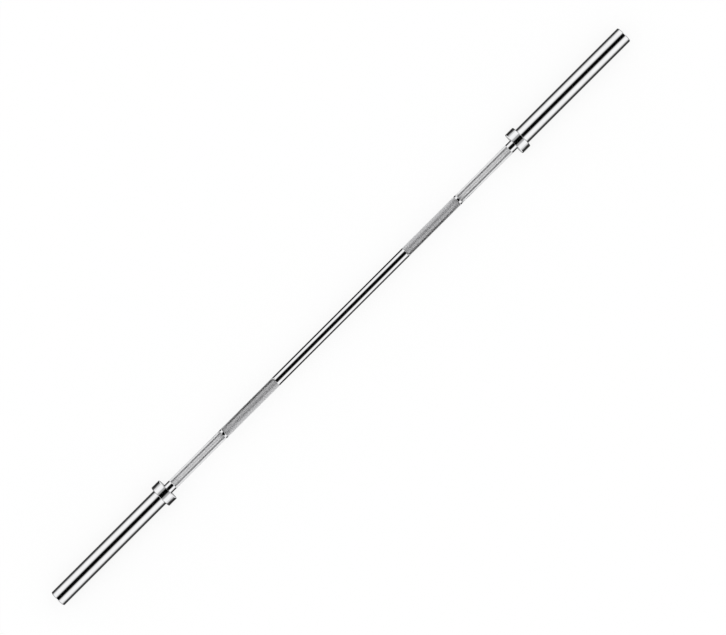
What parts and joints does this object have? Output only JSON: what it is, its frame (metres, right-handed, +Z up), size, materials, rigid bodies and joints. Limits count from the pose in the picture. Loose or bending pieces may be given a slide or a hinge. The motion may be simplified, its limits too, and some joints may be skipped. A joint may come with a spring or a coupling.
{
  "type": "olympic barbell",
  "caption": "Straight chrome olympic barbell: knurled shaft with ring marks, collars and plain plate sleeves that spin on bronze bushings.",
  "frame": {"origin": "middle of the bar, on its axis", "axes": "+X along the bar to its right sleeve, +Z up, the collars rest on z = -35 mm"},
  "size_m": [2.2, 0.07, 0.07],
  "materials": {
    "shaft_chrome": "polished",
    "sleeve_chrome": "polished",
    "collar_chrome": "polished",
    "bushing_bronze": "satin",
    "washer_steel": "satin",
    "spring_steel": "satin",
    "seal_rubber": "matte",
    "cap_steel": "satin"
  },
  "bodies": {
    "shaft": {"shaft": "shaft_chrome", "right_inner_thrust_washer": "washer_steel", "right_outer_thrust_washer": "washer_steel", "right_shaft_retaining_ring": "spring_steel", "left_inner_thrust_washer": "washer_steel", "left_outer_thrust_washer": "washer_steel", "left_shaft_retaining_ring": "spring_steel"},
    "right_sleeve": {"right_sleeve": "sleeve_chrome", "right_collar": "collar_chrome", "right_inner_bushing": "bushing_bronze", "right_outer_bushing": "bushing_bronze", "right_sleeve_seal": "seal_rubber", "right_end_cap": "cap_steel", "right_end_cap_ring": "spring_steel"},
    "left_sleeve": {"left_sleeve": "sleeve_chrome", "left_collar": "collar_chrome", "left_inner_bushing": "bushing_bronze", "left_outer_bushing": "bushing_bronze", "left_sleeve_seal": "seal_rubber", "left_end_cap": "cap_steel", "left_end_cap_ring": "spring_steel"}
  },
  "joints": [
    {"name": "right_sleeve_spin", "type": "hinge", "parent": "shaft", "child": "right_sleeve", "pos_m": [0.886, 0, 0], "axis": [1, 0, 0], "continuous": true},
    {"name": "left_sleeve_spin", "type": "hinge", "parent": "shaft", "child": "left_sleeve", "pos_m": [-0.886, 0, 0], "axis": [1, 0, 0], "continuous": true}
  ]
}
